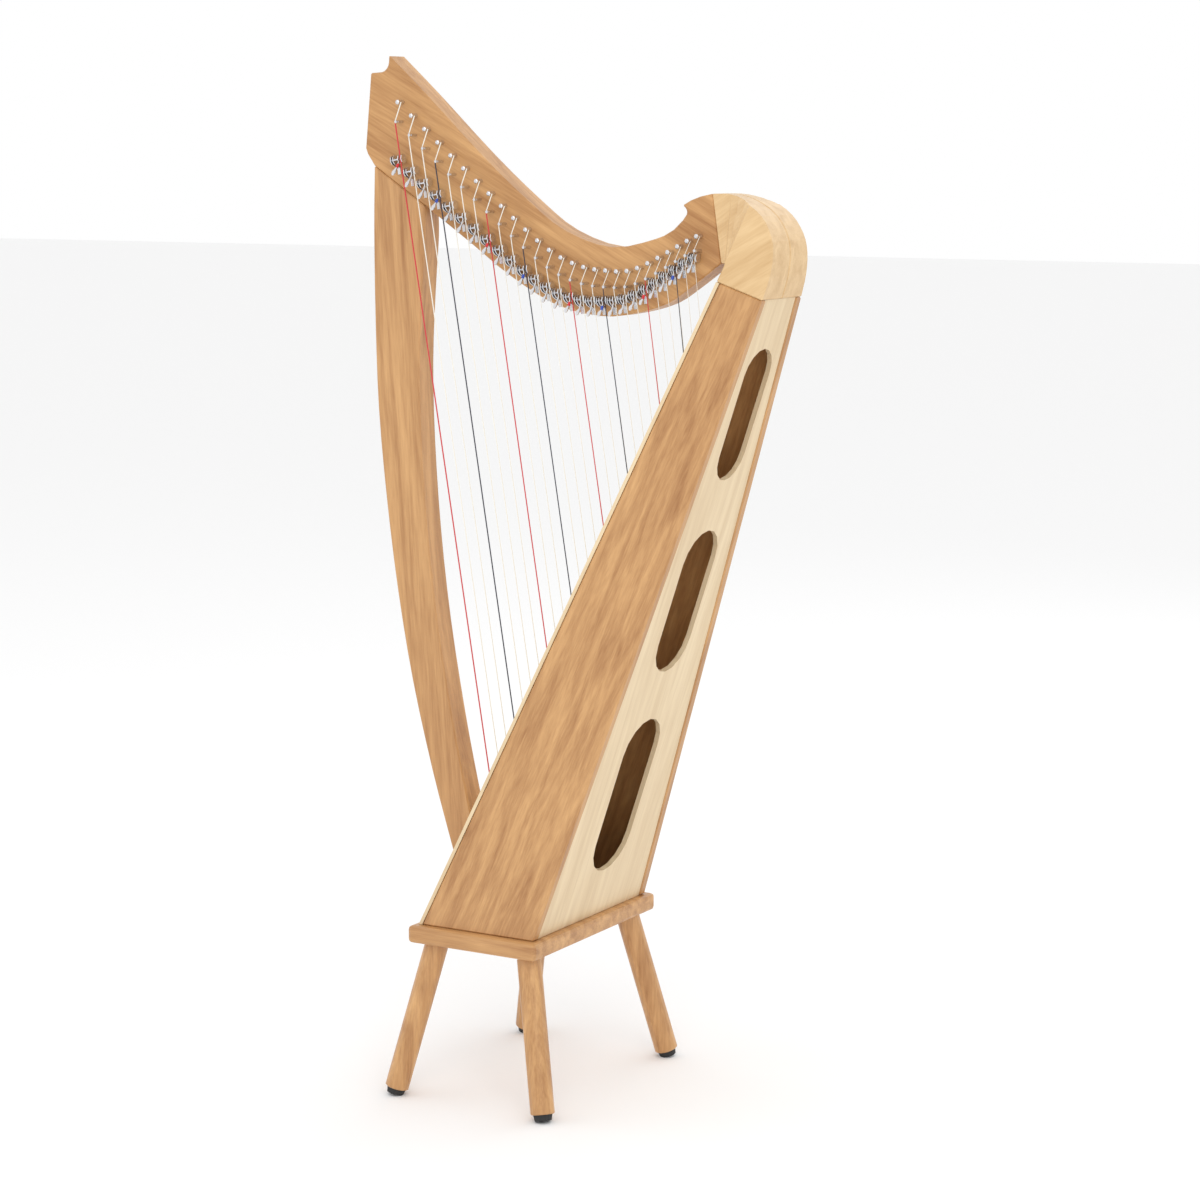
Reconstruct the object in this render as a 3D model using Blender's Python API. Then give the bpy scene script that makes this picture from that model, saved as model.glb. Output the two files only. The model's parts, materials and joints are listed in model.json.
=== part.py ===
# A floor-standing lever harp with 27 strings, on a base plate with four splayed legs.
# Lengths are in metres and angles in degrees.
# X runs from the pillar to the soundbox, Y from the lever side to the tuning side, Z up.
# Inside this file X starts at the middle of the base plate and Z at its top face.
# The empty "harp" then carries every piece to the floor and to the middle of the footprint.
import math

import bpy
import bmesh
import numpy as np
from mathutils import Matrix, Vector

GAP = 0.0003                        # left between pieces that touch

# Stand
PLATE_LENGTH = 0.151
PLATE_WIDTH = 0.245
PLATE_THICKNESS = 0.018
PLATE_ROUNDING = 0.004
LEG_RADIUS = 0.01225
LEG_TOP = (0.055, 0.099)            # leg axis at the plate, from the plate's middle
LEG_SPREAD = (0.0335, 0.0285)       # how far the axis travels outward on its way to the floor
LEG_HEIGHT = 0.160                  # floor to the underside of the plate
LEG_CHAMFER = 0.001
FOOT_RADIUS = 0.0098
FOOT_TIP_RADIUS = 0.0086
FOOT_THICKNESS = 0.006
FOOT_FLAT = 0.0008                  # how deep the floor presses the rubber flat
LEG_BOLT_RADIUS = 0.004
LEG_BOLT_IN_LEG = 0.024
LEG_BOLT_IN_PLATE = 0.010
PLATE_SCREW_RADIUS = 0.0022
PLATE_SCREW_HEAD = 0.0045
PLATE_SCREW_HEAD_HEIGHT = 0.0025
PLATE_SCREW_LENGTH = 0.028
PLATE_SCREW_AT = (0.036, 0.070)

# Soundbox
BOX_LENGTH = 0.136                  # along X at the plate
BOX_WIDTH = 0.2254                  # along Y at the plate
BOX_BACK_LENGTH = 0.6715            # up the back, from the plate to the shoulder
BOX_TAPER = 0.1106                  # each side closes in by this share of the height
FRONT_LEAN = 24.6                   # soundboard from the vertical
BACK_LEAN = 18.5                    # back panel from the vertical
SIDE_THICKNESS = 0.010
SOUNDBOARD_THICKNESS = 0.0035
BACK_THICKNESS = 0.005
BACK_RECESS = 0.0015
BOTTOM_THICKNESS = 0.016
BRACE_WIDTH = 0.018
BRACE_DEPTH = 0.010
BRACES_AT = (0.032, 0.249, 0.458)   # up the back, clear of the sound holes
HOLES = ((0.1390, 0.171, 0.070), (0.3535, 0.153, 0.066), (0.5515, 0.137, 0.053))  # middle, length, width
HOLE_ARC_STEPS = 8
RIB_WIDTH = 0.014
RIB_THICKNESS = 0.0025
INNER_RIB_WIDTH = 0.022
INNER_RIB_THICKNESS = 0.004

# Neck, pillar and shoulder, all in the XZ plane
NECK_THICKNESS = 0.0275
WOOD_CHAMFER = 0.0012
NECK_LEFT = -0.1908
NECK_TOP_POINTS = ((-0.1610, 0.8720), (-0.1160, 0.8325), (-0.0503, 0.7723), (0.0039, 0.7277),
                   (0.0469, 0.6985), (0.1000, 0.6831), (0.1498, 0.6921), (0.1697, 0.7012))
BEAK_POINTS = ((0.1797, 0.7105), (0.1845, 0.7170), (0.1835, 0.7215), (0.1797, 0.7248))
CREST_POINTS = ((0.1884, 0.7296), (0.1993, 0.7335))
SEAM_TOP = (0.2129, 0.7363)
SEAM_FOOT = (0.2226, 0.6700)
NECK_UNDER_POINTS = ((0.1887, 0.6457), (0.1612, 0.6288), (0.1250, 0.6188), (0.0879, 0.6154),
                     (0.0361, 0.6251), (-0.0189, 0.6536), (-0.0615, 0.6827))
PILLAR_JOINT = ((-0.1194, 0.7217), (-0.1802, 0.7610))
NECK_SIDE_POINTS = ((-0.1841, 0.7666), (-0.1884, 0.7728), (NECK_LEFT, 0.7789))
NOTCH_LEFT = (-0.1835, 0.8545)
NOTCH_CENTRE = (-0.1725, 0.8660)
NOTCH_RADIUS = 0.0110
PILLAR_OUTER_POINTS = ((-0.1820, 0.6950), (-0.1815, 0.6000), (-0.1785, 0.5110), (-0.1697, 0.4180),
                       (-0.1570, 0.3240), (-0.1395, 0.2300), (-0.1160, 0.1370), (-0.0925, 0.0596))
PILLAR_INNER_POINTS = ((-0.0744, 0.1203), (-0.0912, 0.1984), (-0.1077, 0.2923), (-0.1192, 0.3862),
                       (-0.1258, 0.4798), (-0.1273, 0.5600), (-0.1235, 0.6340), (-0.1190, 0.6900))
PILLAR_TOE = -0.0738
SHOULDER_TOP_POINTS = ((0.2353, 0.7355), (0.2560, 0.7290), (0.2750, 0.7160), (0.2865, 0.6980),
                       (0.2898, 0.6800), (0.2875, 0.6590))
SHOULDER_BACK = 0.2898
RAMP_TOP = (0.2648, 0.7320)         # where the carved ramp runs out into the shoulder's cheek
RAMP_STEPS = 5
RAMP_HOLLOW = 2.2                   # 1 is a flat ramp, more is a deeper scoop

# Strings
STRINGS = 27
TOP_FIRST = -0.1446                 # X of the first bridge pin
TOP_GAPS = (0.0162, 0.0103)         # between pins along X, bass and treble
FOOT_FIRST = 0.0765                 # first string up the soundboard
FOOT_GAPS = (0.0238, 0.0200)
PIN_LINE = ((-0.1466, 0.8266), (-0.0507, 0.7462), (0.0225, 0.6872), (0.0627, 0.6665),
            (0.1000, 0.6605), (0.1351, 0.6640), (0.1987, 0.6955))
BRIDGE_DROPS = (0.0196, 0.0136)     # bridge pin below its tuning pin, bass and treble
STRING_DIAMETERS = (0.0012, 0.0006)

# Tuning pins and bridge pins
PIN_RADIUS = 0.0026
PIN_TIP_RADIUS = 0.0016
PIN_OUT = 0.0108                    # beyond the lever face
PIN_SHANK_BACK = 0.006              # beyond the tuning face
PIN_KEY_LENGTH = 0.012
PIN_KEY_RADIUS = 0.0022
WIND_OUT = 0.0084                   # where the string leaves its pin, beyond the lever face
BRIDGE_RADIUS = 0.0017
BRIDGE_GROOVE_RADIUS = 0.0011
BRIDGE_GROOVE_OUT = 0.0110
BRIDGE_GROOVE_HALF = 0.0011
BRIDGE_OUT = 0.0132
SEATED = 0.002                      # how deep a fitting sits in the wood

# Sharping levers
LEVER_CLEAR = 0.0028                # added to the share below
LEVER_SHARE = 0.047                 # of the string's length, from bridge pin to lever
LEVER_RANGE = 85.0
DISC_RADIUS = 0.0050
DISC_THICKNESS = 0.0009
FORK_HALF = 0.0015                  # from the string to each fork disc
CAM_RADIUS = 0.0009
CAM_ARM = 0.0036
CAM_ANGLE = 164.0                   # from straight out, turning down, when the lever hangs
AXLE_RADIUS = 0.0012
BRACKET_SHARE = 0.72                # middle of the bracket, as a share of the string gap
BRACKET_CLOSER = 0.0021
BRACKET_HALF = 0.0019
BRACKET_FOOT = 0.0012
BRACKET_REACH = 0.0145              # below the axle
HANDLE_LENGTHS = (0.0215, 0.0170)
HANDLE_ANGLES = (47.0, 58.0)        # below straight out, bass and treble
HANDLE_WIDTHS = (0.0044, 0.0036)
SLEEVE_SPAN = (0.0072, 0.0112)      # along the handle, from the axle

# Eyelets and knots
EYELET_RADII = (0.0024, 0.0017)
EYELET_HEIGHT = 0.0014
KNOT_RADIUS = 0.0019
STRING_STUB = 0.0020                # the string stands square on its eyelet for this length

PLATE_TOP = LEG_HEIGHT + PLATE_THICKNESS
MIDDLE = (NECK_LEFT + SHOULDER_BACK) / 2
HALF_NECK = NECK_THICKNESS / 2


# Small helpers

def blend(pair, share):
    return pair[0] + (pair[1] - pair[0]) * share


def smooth(points, steps):
    # a curve through the points, with this many pieces between neighbours
    ends = [tuple(2 * a - b for a, b in zip(points[0], points[1]))]
    ends += list(points)
    ends.append(tuple(2 * a - b for a, b in zip(points[-1], points[-2])))
    line = []
    for p0, p1, p2, p3 in zip(ends, ends[1:], ends[2:], ends[3:]):
        for k in range(steps):
            t = k / steps
            line.append(tuple(
                0.5 * (2 * b + (c - a) * t + (2 * a - 5 * b + 4 * c - d) * t * t
                       + (3 * b - a - 3 * c + d) * t ** 3)
                for a, b, c, d in zip(p0, p1, p2, p3)))
    line.append(tuple(points[-1]))
    return line


def height_at(points, x):
    # Z of the curve through the points at this X
    line = smooth(points, 12)
    return float(np.interp(x, [p[0] for p in line], [p[1] for p in line]))


def arc(centre, radius, start, end, steps):
    angles = [math.radians(start + (end - start) * k / steps) for k in range(steps + 1)]
    return [(centre[0] + radius * math.cos(a), centre[1] + radius * math.sin(a)) for a in angles]


def material(name, colour, roughness, metallic=0.0):
    made = bpy.data.materials.new(name)
    made.use_nodes = True
    shader = made.node_tree.nodes["Principled BSDF"]
    shader.inputs["Base Color"].default_value = (*colour, 1.0)
    shader.inputs["Roughness"].default_value = roughness
    shader.inputs["Metallic"].default_value = metallic
    made.diffuse_color = (*colour, 1.0)
    return made


def mesh_from(bm, name="piece"):
    bmesh.ops.recalc_face_normals(bm, faces=bm.faces)
    mesh = bpy.data.meshes.new(name)
    bm.to_mesh(mesh)
    bm.free()
    return mesh


def loft(rings, name="piece"):
    # a closed solid through rings of equal count, with flat ends
    bm = bmesh.new()
    rows = [[bm.verts.new(p) for p in ring] for ring in rings]
    count = len(rows[0])
    for low, high in zip(rows, rows[1:]):
        for k in range(count):
            bm.faces.new((low[k], low[(k + 1) % count], high[(k + 1) % count], high[k]))
    bm.faces.new(rows[0])
    bm.faces.new(rows[-1])
    return mesh_from(bm, name)


def slab(outline, y_low, y_high, name="piece"):
    # an XZ outline carried from one Y to another; each Y is a number or a function of Z
    def at(y, z):
        return y(z) if callable(y) else y
    rings = [[(x, at(y, z), z) for x, z in outline] for y in (y_low, y_high)]
    return loft(rings, name)


def merged(meshes, name="piece"):
    # separate solids in one mesh
    bm = bmesh.new()
    for mesh in meshes:
        bm.from_mesh(mesh)
    return mesh_from(bm, name)


def cut(base, tool, operation="DIFFERENCE"):
    # one exact boolean, worked out now
    pieces = []
    for mesh in (base, tool):
        piece = bpy.data.objects.new("work", mesh)
        bpy.context.scene.collection.objects.link(piece)
        pieces.append(piece)
    change = pieces[0].modifiers.new("Boolean", "BOOLEAN")
    change.operation = operation
    change.solver = "EXACT"
    change.object = pieces[1]
    bpy.context.view_layer.update()
    depsgraph = bpy.context.evaluated_depsgraph_get()
    result = bpy.data.meshes.new_from_object(pieces[0].evaluated_get(depsgraph))
    for piece in pieces:
        bpy.data.objects.remove(piece)
    bm = bmesh.new()
    bm.from_mesh(result)
    bmesh.ops.remove_doubles(bm, verts=bm.verts, dist=1e-6)
    bmesh.ops.dissolve_degenerate(bm, edges=bm.edges, dist=1e-6)
    bm.to_mesh(result)
    bm.free()
    return result


def rounded(mesh, width, segments=1, angle=30.0):
    # the same mesh with its sharp edges bevelled
    piece = bpy.data.objects.new("work", mesh)
    bpy.context.scene.collection.objects.link(piece)
    bevel = piece.modifiers.new("Bevel", "BEVEL")
    bevel.width = width
    bevel.segments = segments
    bevel.limit_method = "ANGLE"
    bevel.angle_limit = math.radians(angle)
    bpy.context.view_layer.update()
    depsgraph = bpy.context.evaluated_depsgraph_get()
    result = bpy.data.meshes.new_from_object(piece.evaluated_get(depsgraph))
    bpy.data.objects.remove(piece)
    return result


def rod(start, end, radii, sides, stops=(0.0, 1.0), turn=0.0):
    # a round piece along a line, with a radius at each stop
    start = Vector(start)
    along = Vector(end) - start
    toward = along.to_track_quat("Z", "Y").to_matrix()
    rings = []
    for stop, radius in zip(stops, radii):
        ring = []
        for k in range(sides):
            a = 2 * math.pi * (k + turn) / sides
            ring.append(start + along * stop + toward @ Vector((radius * math.cos(a), radius * math.sin(a), 0)))
        rings.append(ring)
    return loft(rings)


def add(name, mesh, finish, at=(0, 0, 0), tilt=0.0, is_round=False):
    mesh.name = name
    mesh.materials.clear()
    mesh.materials.append(finish)
    piece = bpy.data.objects.new(name, mesh)
    bpy.context.scene.collection.objects.link(piece)
    piece.location = at
    piece.rotation_euler = (0.0, tilt, 0.0)
    piece.parent = harp
    if is_round:
        mesh.shade_smooth()
        mesh.set_sharp_from_angle(angle=math.radians(40))
    return piece


# Soundbox lines in the XZ plane

FRONT_FOOT = Vector((-BOX_LENGTH / 2, 0.0))
BACK_FOOT = Vector((BOX_LENGTH / 2, 0.0))
FRONT_UP = Vector((math.sin(math.radians(FRONT_LEAN)), math.cos(math.radians(FRONT_LEAN))))
BACK_UP = Vector((math.sin(math.radians(BACK_LEAN)), math.cos(math.radians(BACK_LEAN))))
FRONT_IN = Vector((FRONT_UP.y, -FRONT_UP.x))     # from the soundboard into the box
BACK_IN = Vector((-BACK_UP.y, BACK_UP.x))        # from the back into the box
BACK_HEAD = BACK_FOOT + BACK_UP * BOX_BACK_LENGTH


def half_width(z):
    return BOX_WIDTH / 2 - BOX_TAPER * z


def front_at(depth, z):
    # a point this deep behind the soundboard's face, at this height
    return FRONT_FOOT + FRONT_IN * depth + FRONT_UP * ((z - FRONT_IN.y * depth) / FRONT_UP.y)


def back_at(depth, z):
    return BACK_FOOT + BACK_IN * depth + BACK_UP * ((z - BACK_IN.y * depth) / BACK_UP.y)


def front_head(depth, below=0.0):
    # the same line where it meets the square cut at the top of the box
    start = FRONT_FOOT + FRONT_IN * depth
    return start + FRONT_UP * ((BACK_HEAD - BACK_UP * below - start).dot(BACK_UP) / FRONT_UP.dot(BACK_UP))


def back_head(depth, below=0.0):
    return BACK_HEAD + BACK_IN * depth - BACK_UP * below


def front_up(distance, out=0.0):
    # a point this far up the soundboard's middle line and this far in front of it
    return FRONT_FOOT + FRONT_UP * distance - FRONT_IN * out


# String lines

def stepped(first, gaps, index):
    # where number `index` stands when the gaps change steadily from the first to the last
    change = (gaps[1] - gaps[0]) / (STRINGS - 2)
    return first + gaps[0] * index + change * index * (index - 1) / 2


def string_plan(index):
    # everything that depends on which string this is; 0 is the longest
    share = index / (STRINGS - 1)
    diameter = blend(STRING_DIAMETERS, share)
    x = stepped(TOP_FIRST, TOP_GAPS, index)
    tuning = Vector((x, 0.0, height_at(PIN_LINE, x)))
    bridge = Vector((x, 0.0, tuning.z - blend(BRIDGE_DROPS, share)))
    out = -HALF_NECK - BRIDGE_GROOVE_OUT
    side = BRIDGE_GROOVE_RADIUS + GAP + diameter / 2
    top = Vector((x - side, out, bridge.z))
    rise = RIB_THICKNESS + GAP + EYELET_HEIGHT + GAP + diameter / 2
    distance = stepped(FOOT_FIRST, FOOT_GAPS, index)
    low = front_up(distance, rise)
    bend = front_up(distance, rise + STRING_STUB)
    foot = Vector((low.x, 0.0, low.y))
    stub = Vector((bend.x, 0.0, bend.y))
    length = (stub - top).length
    tilt = math.atan2(stub.x - top.x, top.z - stub.z)
    drop = LEVER_CLEAR + LEVER_SHARE * length
    crossing = top + (stub - top) * (drop / length)
    lean = -(stub.y - top.y) / (top.z - stub.z)  # how fast the string nears the neck going down
    below = CAM_ARM * math.sin(math.radians(CAM_ANGLE - LEVER_RANGE))
    reach = CAM_ARM * math.cos(math.radians(CAM_ANGLE - LEVER_RANGE)) + CAM_RADIUS
    back = reach + GAP + diameter / 2 - lean * (below + CAM_RADIUS)
    axle = crossing + Vector((0.0, back, 0.0))
    gap = blend(TOP_GAPS, share)
    return {
        "share": share, "diameter": diameter, "tuning": tuning, "bridge": bridge, "top": top,
        "stub": stub, "foot": foot, "distance": distance, "tilt": tilt, "axle": axle,
        "bracket": -(BRACKET_SHARE * gap - BRACKET_CLOSER), "stand_off": -HALF_NECK - axle.y,
    }


# Clear the scene

for old in list(bpy.data.objects):
    bpy.data.objects.remove(old, do_unlink=True)

harp = bpy.data.objects.new("harp", None)
harp.location = (-MIDDLE, 0.0, PLATE_TOP)
bpy.context.scene.collection.objects.link(harp)

ash = material("ash", (0.72, 0.49, 0.27), 0.42)
pale_ash = material("pale_ash", (0.86, 0.70, 0.48), 0.50)
spruce = material("spruce", (0.80, 0.66, 0.44), 0.55)
raw_wood = material("raw_wood", (0.62, 0.48, 0.32), 0.70)
rubber = material("rubber", (0.03, 0.03, 0.03), 0.75)
steel = material("steel", (0.62, 0.62, 0.64), 0.28, 1.0)
dark_steel = material("dark_steel", (0.25, 0.24, 0.24), 0.40, 1.0)
red_nylon = material("red_nylon", (0.70, 0.05, 0.06), 0.35)
dark_nylon = material("dark_nylon", (0.04, 0.04, 0.06), 0.35)
clear_nylon = material("clear_nylon", (0.88, 0.85, 0.76), 0.30)


# Stand

def leg_line(sx, sy):
    # unit direction down the leg and the middle of its top end
    spread = Vector((sx * LEG_SPREAD[0], sy * LEG_SPREAD[1], -(LEG_HEIGHT - FOOT_THICKNESS)))
    down = spread.normalized()
    rim_rise = LEG_RADIUS * math.hypot(down.x, down.y)
    top = Vector((sx * LEG_TOP[0], sy * LEG_TOP[1], -PLATE_THICKNESS - GAP - rim_rise))
    return top, down


def foot_face(sx, sy):
    # the middle of the tilted rubber face that the floor presses flat
    top, down = leg_line(sx, sy)
    rim_fall = FOOT_TIP_RADIUS * math.hypot(down.x, down.y)
    z = -PLATE_TOP + rim_fall - FOOT_FLAT
    return top + down * ((z - top.z) / down.z)


def bolt_rod(sx, sy, clearance):
    top, down = leg_line(sx, sy)
    up_length = (-PLATE_THICKNESS + LEG_BOLT_IN_PLATE - top.z) / -down.z
    start = top + down * (LEG_BOLT_IN_LEG + clearance)
    end = top - down * (up_length + clearance)
    radius = LEG_BOLT_RADIUS + clearance
    return rod(start, end, (radius, radius), 10)


def plate_screw(sx, sy, clearance):
    x, y = sx * PLATE_SCREW_AT[0], sy * PLATE_SCREW_AT[1]
    low = -PLATE_THICKNESS - GAP - PLATE_SCREW_HEAD_HEIGHT
    high = low + PLATE_SCREW_LENGTH + clearance
    neck = -PLATE_THICKNESS - GAP
    wide, thin = PLATE_SCREW_HEAD, PLATE_SCREW_RADIUS + clearance
    stops = (0.0, (neck - low) / (high - low), (neck - low) / (high - low), 1.0)
    radii = (wide, wide, thin, thin)
    if clearance:
        return rod((x, y, neck), (x, y, high), (thin, thin), 8)
    return rod((x, y, low), (x, y, high), radii, 8, stops)


CORNERS = {"front_left": (-1, -1), "front_right": (-1, 1), "rear_left": (1, -1), "rear_right": (1, 1)}

plate_outline = [(-PLATE_LENGTH / 2, -PLATE_THICKNESS), (PLATE_LENGTH / 2, -PLATE_THICKNESS),
                 (PLATE_LENGTH / 2, 0.0), (-PLATE_LENGTH / 2, 0.0)]
plate = rounded(slab(plate_outline, -PLATE_WIDTH / 2, PLATE_WIDTH / 2), PLATE_ROUNDING, 2)
holes = [bolt_rod(sx, sy, GAP) for sx, sy in CORNERS.values()]
holes += [plate_screw(sx, sy, GAP) for sx, sy in CORNERS.values()]
add("base_plate", cut(plate, merged(holes)), ash)

for corner, (sx, sy) in CORNERS.items():
    top, down = leg_line(sx, sy)
    face = foot_face(sx, sy)
    ankle = face - down * (FOOT_THICKNESS + GAP)
    length = (ankle - top).length
    dowel = rod(top, ankle, (LEG_RADIUS, LEG_RADIUS, LEG_RADIUS - LEG_CHAMFER), 16,
                (0.0, 1.0 - LEG_CHAMFER / length, 1.0))
    add("leg_" + corner, cut(dowel, bolt_rod(sx, sy, GAP)), ash, is_round=True)
    boot = rod(face - down * FOOT_THICKNESS, face, (FOOT_RADIUS, FOOT_TIP_RADIUS), 16)
    bm = bmesh.new()
    bm.from_mesh(boot)
    everything = bm.verts[:] + bm.edges[:] + bm.faces[:]
    sliced = bmesh.ops.bisect_plane(bm, geom=everything, plane_co=(0, 0, -PLATE_TOP),
                                    plane_no=(0, 0, -1), clear_outer=True)
    bmesh.ops.edgeloop_fill(bm, edges=[e for e in sliced["geom_cut"] if isinstance(e, bmesh.types.BMEdge)])
    add("rubber_foot_" + corner, mesh_from(bm), rubber, is_round=True)
    add("leg_bolt_" + corner, bolt_rod(sx, sy, 0.0), dark_steel, is_round=True)
    add("base_screw_" + corner, plate_screw(sx, sy, 0.0), dark_steel, is_round=True)


# Soundbox

side_front = SOUNDBOARD_THICKNESS + GAP
panel_back = BACK_RECESS
inner_back = BACK_RECESS + BACK_THICKNESS + GAP

side_outline = [front_at(side_front, GAP), back_at(0.0, GAP), back_head(0.0, GAP), front_head(side_front, GAP)]
for name, sign in (("soundbox_side_left", -1), ("soundbox_side_right", 1)):
    mesh = slab(side_outline, lambda z: sign * (half_width(z) - SIDE_THICKNESS), lambda z: sign * half_width(z))
    add(name, rounded(mesh, WOOD_CHAMFER), ash)

board_outline = [front_at(0.0, GAP), front_at(SOUNDBOARD_THICKNESS, GAP),
                 front_head(SOUNDBOARD_THICKNESS, GAP), front_head(0.0, GAP)]
soundboard = slab(board_outline, lambda z: -half_width(z), half_width)


def between_sides(z):
    return half_width(z) - SIDE_THICKNESS - GAP


panel_outline = [back_at(panel_back, GAP), back_head(panel_back, GAP),
                 back_head(panel_back + BACK_THICKNESS, GAP), back_at(panel_back + BACK_THICKNESS, GAP)]
panel = slab(panel_outline, lambda z: -between_sides(z), between_sides)


def hole_cutter(middle, length, width):
    # a stadium up the back, carried straight through the panel
    reach = (length - width) / 2
    outline = arc((reach, 0), width / 2, -90, 90, HOLE_ARC_STEPS)
    outline += arc((-reach, 0), width / 2, 90, 270, HOLE_ARC_STEPS)
    rings = []
    for depth in (-0.005, BACK_RECESS + BACK_THICKNESS + 0.005):
        ring = []
        for along, across in outline:
            p = BACK_FOOT + BACK_UP * (middle + along) + BACK_IN * depth
            ring.append((p.x, across, p.y))
        rings.append(ring)
    return loft(rings)


add("back_panel", cut(panel, merged([hole_cutter(*hole) for hole in HOLES])), spruce)

bottom_outline = [front_at(side_front, GAP), back_at(inner_back, GAP),
                  back_at(inner_back, BOTTOM_THICKNESS), front_at(side_front, BOTTOM_THICKNESS)]
bottom = slab(bottom_outline, lambda z: -between_sides(z), between_sides)
screw_holes = merged([plate_screw(sx, sy, GAP) for sx, sy in CORNERS.values()])
add("bottom_block", cut(bottom, screw_holes), raw_wood)

liner_foot = BOTTOM_THICKNESS + GAP

for name, distance in zip(("brace_lower", "brace_middle", "brace_upper"), BRACES_AT):
    low = BACK_FOOT + BACK_UP * (distance - BRACE_WIDTH / 2)
    high = BACK_FOOT + BACK_UP * (distance + BRACE_WIDTH / 2)
    outline = [low + BACK_IN * inner_back, high + BACK_IN * inner_back,
               high + BACK_IN * (inner_back + BRACE_DEPTH), low + BACK_IN * (inner_back + BRACE_DEPTH)]
    add(name, slab(outline, lambda z: -between_sides(z), between_sides), raw_wood)

# The middle ribs that hold the strings, outside and inside the soundboard
RIB_FOOT = FOOT_FIRST - 0.022
outer_rib = [front_up(RIB_FOOT, GAP), front_head(0.0, 2 * GAP) - FRONT_IN * GAP,
             front_head(0.0, 2 * GAP) - FRONT_IN * (GAP + RIB_THICKNESS), front_up(RIB_FOOT, GAP + RIB_THICKNESS)]
inner_near = SOUNDBOARD_THICKNESS + GAP
inner_far = inner_near + INNER_RIB_THICKNESS
inner_rib = [front_at(inner_near, liner_foot), front_head(inner_near, GAP),
             front_head(inner_far, GAP), front_at(inner_far, liner_foot)]
add("soundboard", soundboard, spruce)


# Neck, pillar and shoulder

plans = [string_plan(k) for k in range(STRINGS)]

neck_outline = smooth(NECK_TOP_POINTS, 3) + list(BEAK_POINTS) + list(CREST_POINTS)
neck_outline += [(SEAM_TOP[0] - GAP, SEAM_TOP[1]), (SEAM_FOOT[0] - GAP, SEAM_FOOT[1])]
neck_outline += smooth((SEAM_FOOT,) + NECK_UNDER_POINTS + PILLAR_JOINT[:1], 3)[1:]
neck_outline += smooth(PILLAR_JOINT[1:] + NECK_SIDE_POINTS, 2)
neck_outline += [NOTCH_LEFT] + arc(NOTCH_CENTRE, NOTCH_RADIUS, -95, -5, 5)
neck = rounded(slab(neck_outline, -HALF_NECK, HALF_NECK), WOOD_CHAMFER)

joint_down = Vector((PILLAR_JOINT[0][1] - PILLAR_JOINT[1][1], PILLAR_JOINT[1][0] - PILLAR_JOINT[0][0])).normalized() * GAP
pillar_head = [Vector(p) + joint_down for p in (PILLAR_JOINT[1], PILLAR_JOINT[0])]
heel_low = front_at(-GAP, GAP)
heel_high = front_at(-GAP, 0.0330)
pillar_outline = smooth([tuple(pillar_head[0])] + list(PILLAR_OUTER_POINTS) + [(PILLAR_TOE, GAP)], 3)
pillar_outline += [tuple(heel_low)]
pillar_outline += smooth([tuple(heel_high)] + list(PILLAR_INNER_POINTS) + [tuple(pillar_head[1])], 3)
add("pillar", rounded(slab(pillar_outline, -HALF_NECK, HALF_NECK), WOOD_CHAMFER), ash)

shoulder_front = front_head(0.0)
nose = front_at(0.0, SEAM_FOOT[1])
shoulder_outline = [tuple(shoulder_front), tuple(nose), SEAM_FOOT, SEAM_TOP]
shoulder_outline += smooth((SEAM_TOP,) + SHOULDER_TOP_POINTS + (tuple(BACK_HEAD),), 3)[1:]


def ramp_cutter(sign):
    # the scoop that carries the shoulder's cheek in to the neck's face
    rings = []
    for z in (SEAM_FOOT[1] - 0.004, SEAM_TOP[1] + 0.012):
        seam = SEAM_FOOT[0] + (SEAM_TOP[0] - SEAM_FOOT[0]) * (z - SEAM_FOOT[1]) / (SEAM_TOP[1] - SEAM_FOOT[1])
        ridge = nose.x + (RAMP_TOP[0] - nose.x) * (z - nose.y) / (RAMP_TOP[1] - nose.y)
        ring = [(seam - 0.02, sign * HALF_NECK, z)]
        for k in range(RAMP_STEPS + 1):
            share = k / RAMP_STEPS
            y = HALF_NECK + (half_width(z) - HALF_NECK) * share ** RAMP_HOLLOW
            ring.append((seam + (ridge - seam) * share, sign * y, z))
        ring += [(ridge, sign * BOX_WIDTH / 2, z), (seam - 0.02, sign * BOX_WIDTH / 2, z)]
        rings.append(ring)
    return loft(rings)


for name, sign in (("shoulder_left", -1), ("shoulder_right", 1)):
    block = slab(shoulder_outline, sign * GAP / 2, lambda z: sign * half_width(z))
    add(name, cut(rounded(block, WOOD_CHAMFER), ramp_cutter(sign)), pale_ash)


# Tuning pins and bridge pins

def tuning_pin(plan):
    x, z = plan["tuning"].x, plan["tuning"].z
    rings = []
    for y, radius, power in ((-HALF_NECK - PIN_OUT, PIN_TIP_RADIUS, 0), (-HALF_NECK - PIN_OUT + 0.001, PIN_RADIUS, 0),
                             (HALF_NECK + PIN_SHANK_BACK, PIN_RADIUS, 0),
                             (HALF_NECK + PIN_SHANK_BACK + PIN_KEY_LENGTH, PIN_KEY_RADIUS, 1)):
        ring = []
        for k in range(6):
            a = 2 * math.pi * k / 6
            r = radius * (0.72 if power and k % 2 == 0 else 1.0)
            ring.append((x + r * math.cos(a), y, z + r * math.sin(a)))
        rings.append(ring)
    return loft(rings)


def bridge_pin(plan):
    x, z = plan["bridge"].x, plan["bridge"].z
    start = Vector((x, -HALF_NECK + SEATED, z))
    end = Vector((x, -HALF_NECK - BRIDGE_OUT, z))
    span = BRIDGE_OUT + SEATED
    groove = (BRIDGE_GROOVE_OUT + SEATED) / span
    half = BRIDGE_GROOVE_HALF / span
    radii = (BRIDGE_RADIUS, BRIDGE_RADIUS, BRIDGE_GROOVE_RADIUS, BRIDGE_RADIUS, BRIDGE_RADIUS)
    return rod(start, end, radii, 5, (0.0, groove - half, groove, groove + half, 1.0), 0.5)


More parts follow.
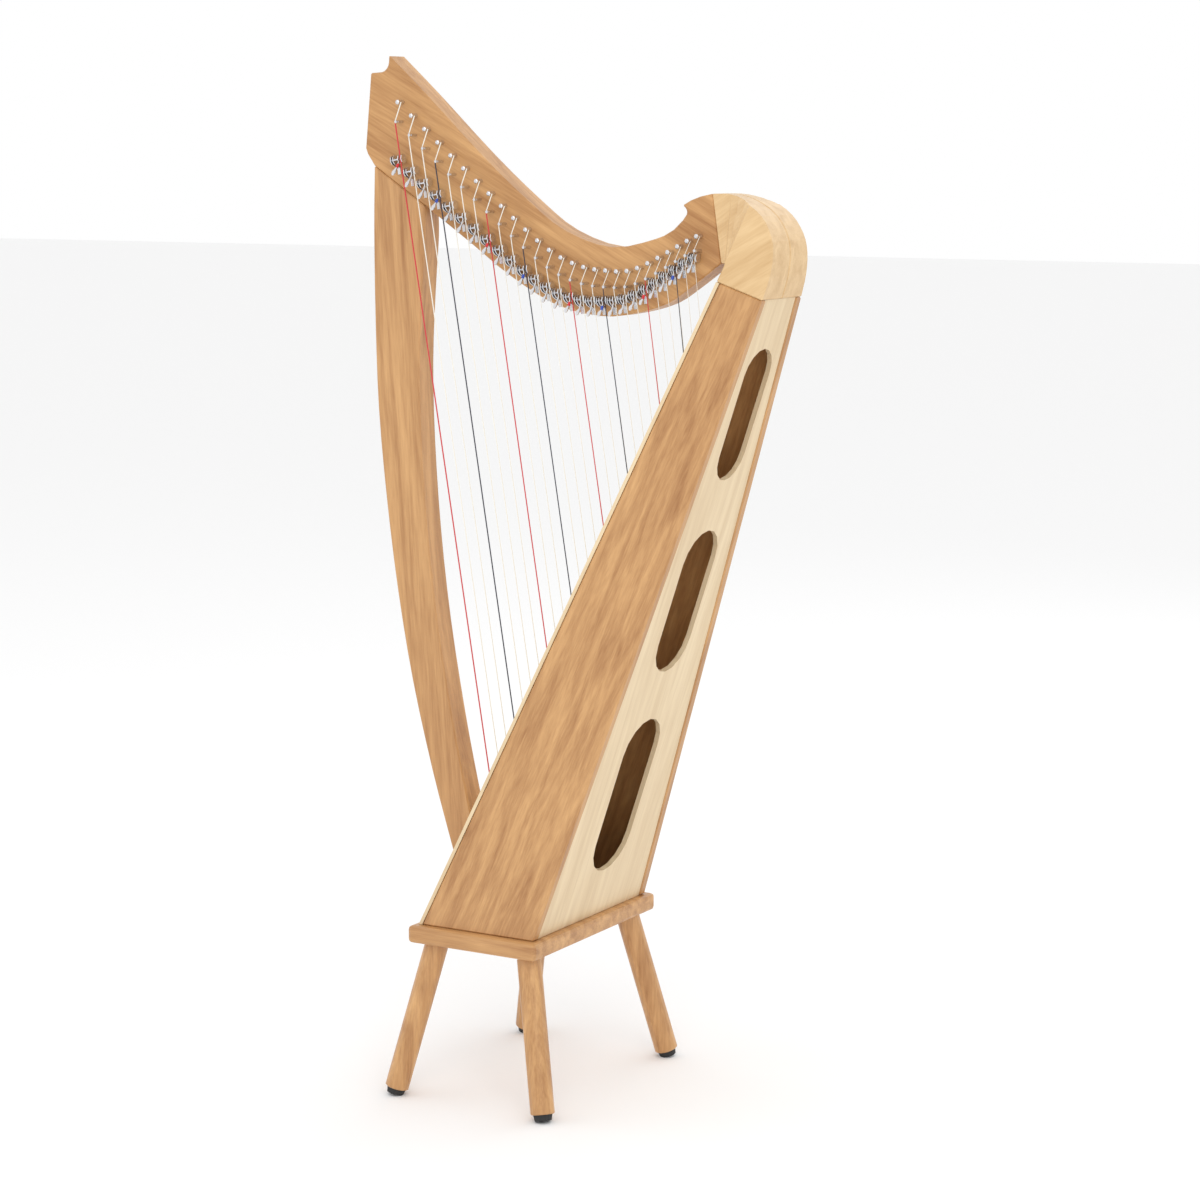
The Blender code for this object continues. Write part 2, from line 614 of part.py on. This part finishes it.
# Strings: from the side of the tuning pin past the bridge pin, then straight into the rib

def string_route(plan):
    side = PIN_RADIUS + 2 * GAP + plan["diameter"] / 2
    start = plan["tuning"] + Vector((side, -HALF_NECK - WIND_OUT, 0.0))
    seat = front_up(plan["distance"], GAP + RIB_THICKNESS / 2)
    return [start, plan["top"], plan["stub"], Vector((seat.x, 0.0, seat.y))]


def string_mesh(route, diameter):
    curve = bpy.data.curves.new("string", "CURVE")
    curve.dimensions = "3D"
    curve.bevel_depth = diameter / 2
    curve.bevel_resolution = 1
    curve.use_fill_caps = True
    spline = curve.splines.new("POLY")
    spline.points.add(len(route) - 1)
    for point, place in zip(spline.points, route):
        point.co = (*place, 1.0)
    piece = bpy.data.objects.new("work", curve)
    bpy.context.scene.collection.objects.link(piece)
    bpy.context.view_layer.update()
    mesh = bpy.data.meshes.new_from_object(piece.evaluated_get(bpy.context.evaluated_depsgraph_get()))
    bpy.data.objects.remove(piece)
    bm = bmesh.new()
    bm.from_mesh(mesh)
    bmesh.ops.remove_doubles(bm, verts=bm.verts, dist=1e-6)
    return mesh_from(bm)


def on_board(plan, out):
    p = front_up(plan["distance"], out)
    return Vector((p.x, 0.0, p.y))


# The strings and their eyelets are one band with the rib, and the knots one with the inner rib
eyelets, knots = [], []
for plan in plans:
    low = GAP + RIB_THICKNESS / 2
    high = GAP + RIB_THICKNESS + EYELET_HEIGHT
    eyelets.append(rod(on_board(plan, low), on_board(plan, high), EYELET_RADII, 6))
    deep = -(inner_far - INNER_RIB_THICKNESS / 4)
    knots.append(rod(on_board(plan, deep), on_board(plan, deep - 2 * KNOT_RADIUS),
                     (KNOT_RADIUS, KNOT_RADIUS * 0.6), 5))
strings = [string_mesh(string_route(plan), plan["diameter"]) for plan in plans]
rib = cut(slab(outer_rib, -RIB_WIDTH / 2, RIB_WIDTH / 2), merged(eyelets), "UNION")
add("string_band", cut(rib, merged(strings), "UNION"), clear_nylon)
inner = slab(inner_rib, -INNER_RIB_WIDTH / 2, INNER_RIB_WIDTH / 2)
add("inner_rib", cut(inner, merged(knots), "UNION"), raw_wood)


# Sharping levers. Local frame: X along the axle, -Y out from the neck, Z up the string.

def lever_frame(plan):
    return Matrix.Translation(plan["axle"]) @ Matrix.Rotation(-plan["tilt"], 4, "Y")


def placed(mesh, frame):
    moved = mesh.copy()
    moved.transform(frame)
    return moved


def side_plate(outline, x_low, x_high, bore=None):
    # a plate across the axle from an outline of (out, up) points, with a round bore if one is given
    bm = bmesh.new()
    loops = [outline]
    if bore:
        loops.append([(-y, z) for y, z in arc((0, 0), bore, 0, -360, 5)[:-1]])
    edges = []
    for points in loops:
        verts = [bm.verts.new((x_low, -out, up)) for out, up in points]
        edges += [bm.edges.new((verts[k], verts[(k + 1) % len(verts)])) for k in range(len(verts))]
    made = bmesh.ops.triangle_fill(bm, edges=edges, use_beauty=True)
    faces = [f for f in made["geom"] if isinstance(f, bmesh.types.BMFace)]
    raised = bmesh.ops.extrude_face_region(bm, geom=faces)
    verts = [v for v in raised["geom"] if isinstance(v, bmesh.types.BMVert)]
    bmesh.ops.translate(bm, verts=verts, vec=(x_high - x_low, 0, 0))
    return mesh_from(bm)


def handle_section(distance, middle, width, thickness, angle):
    # one rectangle across the handle
    away = Vector((0.0, -math.cos(angle), -math.sin(angle)))
    across = Vector((0.0, math.sin(angle), -math.cos(angle)))
    ring = []
    for sx, st in ((-1, -1), (1, -1), (1, 1), (-1, 1)):
        ring.append(away * distance + across * (st * thickness / 2) + Vector((middle + sx * width / 2, 0, 0)))
    return ring


def handle_stations(plan):
    # distance from the axle, middle and width along the axle, thickness
    length = blend(HANDLE_LENGTHS, plan["share"])
    width = blend(HANDLE_WIDTHS, plan["share"])
    right = -FORK_HALF - 0.0001
    stem = DISC_THICKNESS + 0.0003
    return (
        (0.70 * DISC_RADIUS, -FORK_HALF - DISC_THICKNESS / 2, DISC_THICKNESS * 0.9, 0.0024),
        (1.30 * DISC_RADIUS, right - stem / 2, stem, 0.0015),
        (SLEEVE_SPAN[1] + GAP, right - stem / 2, stem, 0.0013),
        (length * 0.76, right - width / 2, width, 0.0011),
        (length * 0.93, right - width / 2, width * 0.84, 0.0010),
        (length, right - width / 2, width * 0.45, 0.0008),
    )


def lever_mesh(plan):
    angle = math.radians(blend(HANDLE_ANGLES, plan["share"]))
    disc = arc((0, 0), DISC_RADIUS, 0, 360, 8)[:-1]
    left = side_plate(disc, -FORK_HALF - DISC_THICKNESS, -FORK_HALF, AXLE_RADIUS + GAP)
    right = side_plate(disc, FORK_HALF, FORK_HALF + DISC_THICKNESS)
    turn = math.radians(CAM_ANGLE)
    y, z = -CAM_ARM * math.cos(turn), -CAM_ARM * math.sin(turn)
    reach = FORK_HALF + DISC_THICKNESS / 2
    cam = rod((-reach, y, z), (reach, y, z), (CAM_RADIUS, CAM_RADIUS), 5)
    stations = handle_stations(plan)
    handle = loft([handle_section(*station, angle) for station in stations])
    return cut(cut(cut(left, cam, "UNION"), right, "UNION"), handle, "UNION")


def bracket_parts(plan):
    # two ears, a foot on the neck and the axle, in the lever's frame
    wall = plan["stand_off"] + SEATED / 4             # axle to the foot's back, in the neck's wood
    middle = plan["bracket"]
    ear = arc((0, 0), DISC_RADIUS, 120, -60, 4)
    ear += [(-wall, -BRACKET_REACH * 0.62), (-wall, 0.0)]
    low, high = middle - BRACKET_HALF, middle + BRACKET_HALF
    ears = [side_plate(ear, low, low + DISC_THICKNESS), side_plate(ear, high - DISC_THICKNESS, high)]
    foot = [(-wall, 0.0), (-wall + BRACKET_FOOT, 0.0), (-wall + BRACKET_FOOT, -BRACKET_REACH), (-wall, -BRACKET_REACH)]
    inset = 0.0002
    plate = side_plate(foot, low + inset, high - inset)
    axle = rod((low - 0.0004, 0, 0), (-FORK_HALF + 0.0003, 0, 0), (AXLE_RADIUS, AXLE_RADIUS), 5)
    return ears + [plate, axle]


# The neck carries its tuning pins, bridge pins and lever brackets as one body
columns = [[], [], [], []]
for number, plan in enumerate(plans, 1):
    for column, mesh in zip(columns, bracket_parts(plan)):
        column.append(placed(mesh, lever_frame(plan)))
    add("lever_%02d" % number, lever_mesh(plan), steel, plan["axle"], -plan["tilt"], is_round=True)
for fitted in [tuning_pin, bridge_pin]:
    neck = cut(neck, merged([fitted(plan) for plan in plans]), "UNION")
for column in columns:
    neck = cut(neck, merged(column), "UNION")
add("neck", neck, ash)

bpy.context.view_layer.update()
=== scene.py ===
import json
import math
import bpy
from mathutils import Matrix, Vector


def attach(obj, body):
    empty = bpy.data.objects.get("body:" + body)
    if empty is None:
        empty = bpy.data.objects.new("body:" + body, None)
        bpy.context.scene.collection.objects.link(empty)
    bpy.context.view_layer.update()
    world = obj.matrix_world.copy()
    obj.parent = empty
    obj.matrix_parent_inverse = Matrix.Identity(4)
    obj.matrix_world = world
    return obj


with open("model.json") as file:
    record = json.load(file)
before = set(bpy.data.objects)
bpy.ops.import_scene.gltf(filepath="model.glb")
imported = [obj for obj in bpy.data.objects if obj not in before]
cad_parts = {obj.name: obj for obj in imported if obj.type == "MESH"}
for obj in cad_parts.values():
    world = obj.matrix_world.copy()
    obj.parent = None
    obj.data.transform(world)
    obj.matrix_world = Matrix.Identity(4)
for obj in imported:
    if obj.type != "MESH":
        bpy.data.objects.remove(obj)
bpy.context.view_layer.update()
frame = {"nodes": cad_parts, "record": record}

# what a user would change
wood = {
    "honey": ((0.36, 0.16, 0.05), (0.66, 0.37, 0.15)),
    "pale": ((0.60, 0.38, 0.17), (0.78, 0.55, 0.29)),
    "spruce": ((0.66, 0.49, 0.29), (0.82, 0.66, 0.43)),
    # dark brown for the parts inside the soundbox: painted shade for the dim inside of the box
    "shadedInside": ((0.16, 0.09, 0.045), (0.28, 0.17, 0.09)),
    "rings": 85.0,       # how closely the growth rings lie
    "stretch": 0.06,     # how far the grain is drawn out along the board
    "bump": 0.12,
}
metal = {"nickel": (0.72, 0.72, 0.74), "black": (0.16, 0.15, 0.15)}
strings = {
    "thick": (0.0012, 0.0006),      # bass and treble
    "over": 0.00008,                # how far a dyed string's skin stands off its core
    "boardFoot": -0.1175, "boardLean": 24.6, "boardRise": 0.0032, "boardBase": 0.178,
    "pinOut": 0.02475,              # from the harp's middle plane to the groove in a bridge pin
    "leverShare": 0.047, "leverClear": 0.0028,
    "redEvery": (1, 8, 15, 22), "darkEvery": (4, 11, 18, 25),
    "clear": (0.86, 0.83, 0.74), "red": (0.62, 0.04, 0.05), "dark": (0.03, 0.03, 0.05),
}
sleeve = {"from": 0.0072, "to": 0.0112, "radius": 0.0014, "side": 0.0022, "angles": (47.0, 58.0),
          "red": (0.66, 0.03, 0.04), "blue": (0.03, 0.08, 0.45)}
camera = {"lens": 90.52, "at": (1.5443, -2.5906, 0.9673), "turn": 30.31, "down": 8.71}
lights = {
    "key": {"at": (1.6, -2.4, 2.6), "size": 2.4, "power": 30.0},
    "fill": {"at": (-2.6, -1.2, 1.8), "size": 2.6, "power": 6.0},
    "back": {"at": (0.4, 2.6, 2.2), "size": 2.2, "power": 8.0},
}
print("frame loaded:", len(frame["nodes"]), "nodes")


# a socket that can stand in a Python expression
class Wire:
    def __init__(self, tree, socket):
        self.tree = tree
        self.socket = socket

    def maths(self, operation, first, second):
        return node(self.tree, "ShaderNodeMath", {"operation": operation}, {0: first, 1: second})

    def __add__(self, other):
        return self.maths("ADD", self, other)

    __radd__ = __add__

    def __mul__(self, other):
        return self.maths("MULTIPLY", self, other)

    __rmul__ = __mul__

    def __sub__(self, other):
        return self.maths("SUBTRACT", self, other)

    def __rsub__(self, other):
        return self.maths("SUBTRACT", other, self)


def node(tree, kind, settings, values, output=0):
    made = tree.nodes.new(kind)
    for name, value in settings.items():
        if name == "stops":
            ramp = made.color_ramp
            for element, (place, colour) in zip(ramp.elements, value):
                element.position = place
                element.color = (*colour, 1.0)
        else:
            setattr(made, name, value)
    for name, value in values.items():
        if isinstance(value, Wire):
            tree.links.new(value.socket, made.inputs[name])
        else:
            made.inputs[name].default_value = value
    return Wire(tree, made.outputs[output])


def newMaterial(name):
    made = bpy.data.materials.new(name)
    made.use_nodes = True
    tree = made.node_tree
    return made, tree, tree.nodes["Principled BSDF"]


def link(tree, wire, shader, name):
    tree.links.new(wire.socket, shader.inputs[name])


# grain runs along the board's own length: lean is the board's angle from upright, about Y
def woodMaterial(name, tones, lean, roughness=0.42, coat=0.25):
    made, tree, shader = newMaterial(name)
    place = node(tree, "ShaderNodeTexCoord", {}, {}, "Object")
    turned = node(tree, "ShaderNodeVectorRotate", {"rotation_type": "Y_AXIS"},
                  {"Vector": place, "Angle": math.radians(-lean)})
    drawn = node(tree, "ShaderNodeVectorMath", {"operation": "MULTIPLY"},
                 {0: turned, 1: (1.0, 1.0, wood["stretch"])})
    rings = node(tree, "ShaderNodeTexNoise", {},
                 {"Vector": drawn, "Scale": wood["rings"], "Detail": 3.0, "Distortion": 0.6})
    fine = node(tree, "ShaderNodeTexNoise", {}, {"Vector": drawn, "Scale": 620.0, "Detail": 2.0})
    grain = rings * 0.72 + fine * 0.28
    colour = node(tree, "ShaderNodeValToRGB", {"stops": ((0.30, tones[0]), (0.68, tones[1]))}, {"Fac": grain})
    bump = node(tree, "ShaderNodeBump", {}, {"Strength": wood["bump"], "Distance": 0.0006, "Height": fine})
    link(tree, colour, shader, "Base Color")
    link(tree, fine * 0.16 + (roughness - 0.08), shader, "Roughness")
    link(tree, bump, shader, "Normal")
    shader.inputs["Coat Weight"].default_value = coat
    shader.inputs["Coat Roughness"].default_value = 0.25
    return made


def metalMaterial(name, colour, roughness):
    made, tree, shader = newMaterial(name)
    place = node(tree, "ShaderNodeTexCoord", {}, {}, "Object")
    marks = node(tree, "ShaderNodeTexNoise", {}, {"Vector": place, "Scale": 900.0, "Detail": 2.0})
    link(tree, marks * 0.14 + (roughness - 0.07), shader, "Roughness")
    shader.inputs["Base Color"].default_value = (*colour, 1.0)
    shader.inputs["Metallic"].default_value = 1.0
    return made


def rubberMaterial(name):
    made, tree, shader = newMaterial(name)
    place = node(tree, "ShaderNodeTexCoord", {}, {}, "Object")
    dust = node(tree, "ShaderNodeTexNoise", {}, {"Vector": place, "Scale": 260.0, "Detail": 4.0})
    link(tree, dust * 0.2 + 0.6, shader, "Roughness")
    shader.inputs["Base Color"].default_value = (0.022, 0.022, 0.022, 1.0)
    return made


# the wood and the fittings of one node are told apart by how far they lie from its faces
def neckMaterial(timber, halfNeck):
    made, tree, shader = newMaterial("neckFinish")
    place = node(tree, "ShaderNodeTexCoord", {}, {}, "Object")
    split = tree.nodes.new("ShaderNodeSeparateXYZ")
    tree.links.new(place.socket, split.inputs[0])
    depth = node(tree, "ShaderNodeMath", {"operation": "ABSOLUTE"}, {0: Wire(tree, split.outputs["Y"])})
    fitting = node(tree, "ShaderNodeMath", {"operation": "GREATER_THAN"}, {0: depth, 1: halfNeck + 0.0002})
    turned = node(tree, "ShaderNodeVectorRotate", {"rotation_type": "Y_AXIS"},
                  {"Vector": place, "Angle": math.radians(-timber["lean"])})
    drawn = node(tree, "ShaderNodeVectorMath", {"operation": "MULTIPLY"},
                 {0: turned, 1: (1.0, 1.0, wood["stretch"])})
    rings = node(tree, "ShaderNodeTexNoise", {},
                 {"Vector": drawn, "Scale": wood["rings"], "Detail": 3.0, "Distortion": 0.6})
    fine = node(tree, "ShaderNodeTexNoise", {}, {"Vector": drawn, "Scale": 620.0, "Detail": 2.0})
    tones = timber["tones"]
    grain = rings * 0.72 + fine * 0.28
    colour = node(tree, "ShaderNodeValToRGB", {"stops": ((0.30, tones[0]), (0.68, tones[1]))}, {"Fac": grain})
    mixed = node(tree, "ShaderNodeMix", {"data_type": "RGBA"},
                 {0: fitting, 6: colour, 7: (*metal["nickel"], 1.0)}, 2)
    link(tree, mixed, shader, "Base Color")
    link(tree, fitting, shader, "Metallic")
    link(tree, (1 - fitting) * 0.16 + 0.26, shader, "Roughness")
    return made


# every seventh string from the first is red, every seventh from the fourth is dark
def nylonMaterial(name, colour):
    made, tree, shader = newMaterial(name)
    place = node(tree, "ShaderNodeTexCoord", {}, {}, "Object")
    haze = node(tree, "ShaderNodeTexNoise", {}, {"Vector": place, "Scale": 300.0})
    link(tree, haze * 0.1 + 0.28, shader, "Roughness")
    shader.inputs["Base Color"].default_value = (*colour, 1.0)
    return made


finishes = {
    "neck": neckMaterial({"lean": 118.0, "tones": wood["honey"]}, 0.01375),
    "pillar": woodMaterial("pillarAsh", wood["honey"], -4.0),
    "box": woodMaterial("boxAsh", wood["honey"], 21.5),
    "plate": woodMaterial("plateAsh", wood["honey"], 90.0),
    "leg": woodMaterial("legAsh", wood["honey"], 0.0),
    "shoulder": woodMaterial("shoulderAsh", wood["pale"], 60.0),
    "back": woodMaterial("backSpruce", wood["spruce"], 18.5, 0.5, 0.1),
    "front": woodMaterial("frontSpruce", wood["spruce"], 24.6, 0.5, 0.1),
    # braces, ribs and bottom block take the dark brown tones, painted shade for the inside of the box; matte and
    # uncoated like bare wood
    "inside": woodMaterial("insideWood", wood["shadedInside"], 21.5, 0.7, 0.0),
    "nickel": metalMaterial("nickel", metal["nickel"], 0.22),
    "black": metalMaterial("blackSteel", metal["black"], 0.42),
    "rubber": rubberMaterial("footRubber"),
    "nylon": nylonMaterial("clearNylon", strings["clear"]),
    "redNylon": nylonMaterial("redNylon", strings["red"]),
    "darkNylon": nylonMaterial("darkNylon", strings["dark"]),
    "redSleeve": nylonMaterial("redSleeve", sleeve["red"]),
    "blueSleeve": nylonMaterial("blueSleeve", sleeve["blue"]),
}


def finishOf(name):
    starts = (("lever_", "nickel"), ("leg_bolt", "black"), ("base_screw", "black"), ("rubber_foot", "rubber"),
              ("leg_", "leg"), ("shoulder", "shoulder"), ("brace", "inside"), ("bottom_block", "inside"),
              ("inner_rib", "inside"), ("back_panel", "back"), ("soundboard", "front"), ("string_band", "nylon"),
              ("soundbox_side", "box"), ("base_plate", "plate"), ("pillar", "pillar"), ("neck", "neck"))
    return next(finish for start, finish in starts if name.startswith(start))


for name in frame["nodes"]:
    piece = bpy.data.objects[name]
    piece.data.materials.clear()
    piece.data.materials.append(finishes[finishOf(name)])
print("finishes on every node")


def rodBetween(name, low, high, radius, finish, body):
    curve = bpy.data.curves.new(name, "CURVE")
    curve.dimensions = "3D"
    curve.bevel_depth = radius
    curve.bevel_resolution = 3
    curve.use_fill_caps = True
    line = curve.splines.new("POLY")
    line.points.add(1)
    for point, place in zip(line.points, (low, high)):
        point.co = (*place, 1.0)
    curve.materials.append(finishes[finish])
    piece = bpy.data.objects.new(name, curve)
    bpy.context.scene.collection.objects.link(piece)
    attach(piece, body)
    return piece


# a string's line, worked out from its lever's axle: the axle gives its place and its lean
def dressString(number, joint, finish, sleeveFinish):
    share = (number - 1) / 26
    at = Vector(joint["pos_m"])
    across = -Vector(joint["axis"])
    up = Vector((-across.z, 0.0, across.x))
    slope = math.tan(math.radians(strings["boardLean"]))
    face = strings["boardFoot"] - strings["boardRise"] / math.cos(math.radians(strings["boardLean"]))
    reach = (face + slope * (at.z - strings["boardBase"]) - at.x) / (across.z + slope * across.x)
    length = (reach + strings["leverClear"]) / (1 - strings["leverShare"])
    foot = Vector((at.x, 0.0, at.z)) - up * reach
    top = foot + up * length - Vector((0.0, strings["pinOut"], 0.0))
    thick = strings["thick"][0] + (strings["thick"][1] - strings["thick"][0]) * share
    rodBetween("string%02d" % number, foot, top, thick / 2 + strings["over"], finish, "harp_body")
    angle = math.radians(sleeve["angles"][0] + (sleeve["angles"][1] - sleeve["angles"][0]) * share)
    away = Vector((0.0, -math.cos(angle), 0.0)) - up * math.sin(angle)
    start = at - across * sleeve["side"]
    rodBetween("sleeve%02d" % number, start + away * sleeve["from"], start + away * sleeve["to"],
               sleeve["radius"], sleeveFinish, joint["child"])


joints = {joint["child"]: joint for joint in frame["record"]["behaviour"]["joints"]}
for dyed, finish, sleeveFinish in (("redEvery", "redNylon", "redSleeve"), ("darkEvery", "darkNylon", "blueSleeve")):
    for number in strings[dyed]:
        dressString(number, joints["lever_%02d" % number], finish, sleeveFinish)
print("dyed strings and lever sleeves in place")


def makeFloor():
    bpy.ops.mesh.primitive_plane_add(size=40.0)
    floor = bpy.context.object
    floor.name = "floor"
    made, tree, shader = newMaterial("paleFloor")
    shader.inputs["Base Color"].default_value = (0.97, 0.97, 0.97, 1.0)
    shader.inputs["Roughness"].default_value = 0.9
    shader.inputs["Specular IOR Level"].default_value = 0.1
    floor.data.materials.append(made)


def makeWorld():
    world = bpy.data.worlds.new("studio")
    bpy.context.scene.world = world
    world.use_nodes = True
    tree = world.node_tree
    background = tree.nodes["Background"]
    path = tree.nodes.new("ShaderNodeLightPath")
    seen = Wire(tree, path.outputs["Is Camera Ray"]) + Wire(tree, path.outputs["Is Glossy Ray"])
    seen = seen + Wire(tree, path.outputs["Is Transmission Ray"])
    strength = node(tree, "ShaderNodeMath", {"operation": "MINIMUM"}, {0: seen * 0.05 + 0.95, 1: 1.0})
    background.inputs["Color"].default_value = (1.0, 1.0, 1.0, 1.0)
    tree.links.new(strength.socket, background.inputs["Strength"])


def makeLights():
    for name, light in lights.items():
        data = bpy.data.lights.new(name, "AREA")
        data.size = light["size"]
        data.energy = light["power"]
        lamp = bpy.data.objects.new(name, data)
        lamp.location = light["at"]
        toward = Vector((0.0, 0.0, 0.55)) - lamp.location
        lamp.rotation_euler = toward.to_track_quat("-Z", "Y").to_euler()
        bpy.context.scene.collection.objects.link(lamp)


def makeCamera():
    data = bpy.data.cameras.new("camera")
    data.sensor_width = 36.0
    data.lens = camera["lens"]
    eye = bpy.data.objects.new("camera", data)
    eye.location = camera["at"]
    eye.rotation_euler = (math.radians(90.0 - camera["down"]), 0.0, math.radians(camera["turn"]))
    bpy.context.scene.collection.objects.link(eye)
    bpy.context.scene.camera = eye


makeFloor()
makeWorld()
makeLights()
makeCamera()
bpy.context.scene.view_settings.view_transform = "Standard"
print("studio ready")
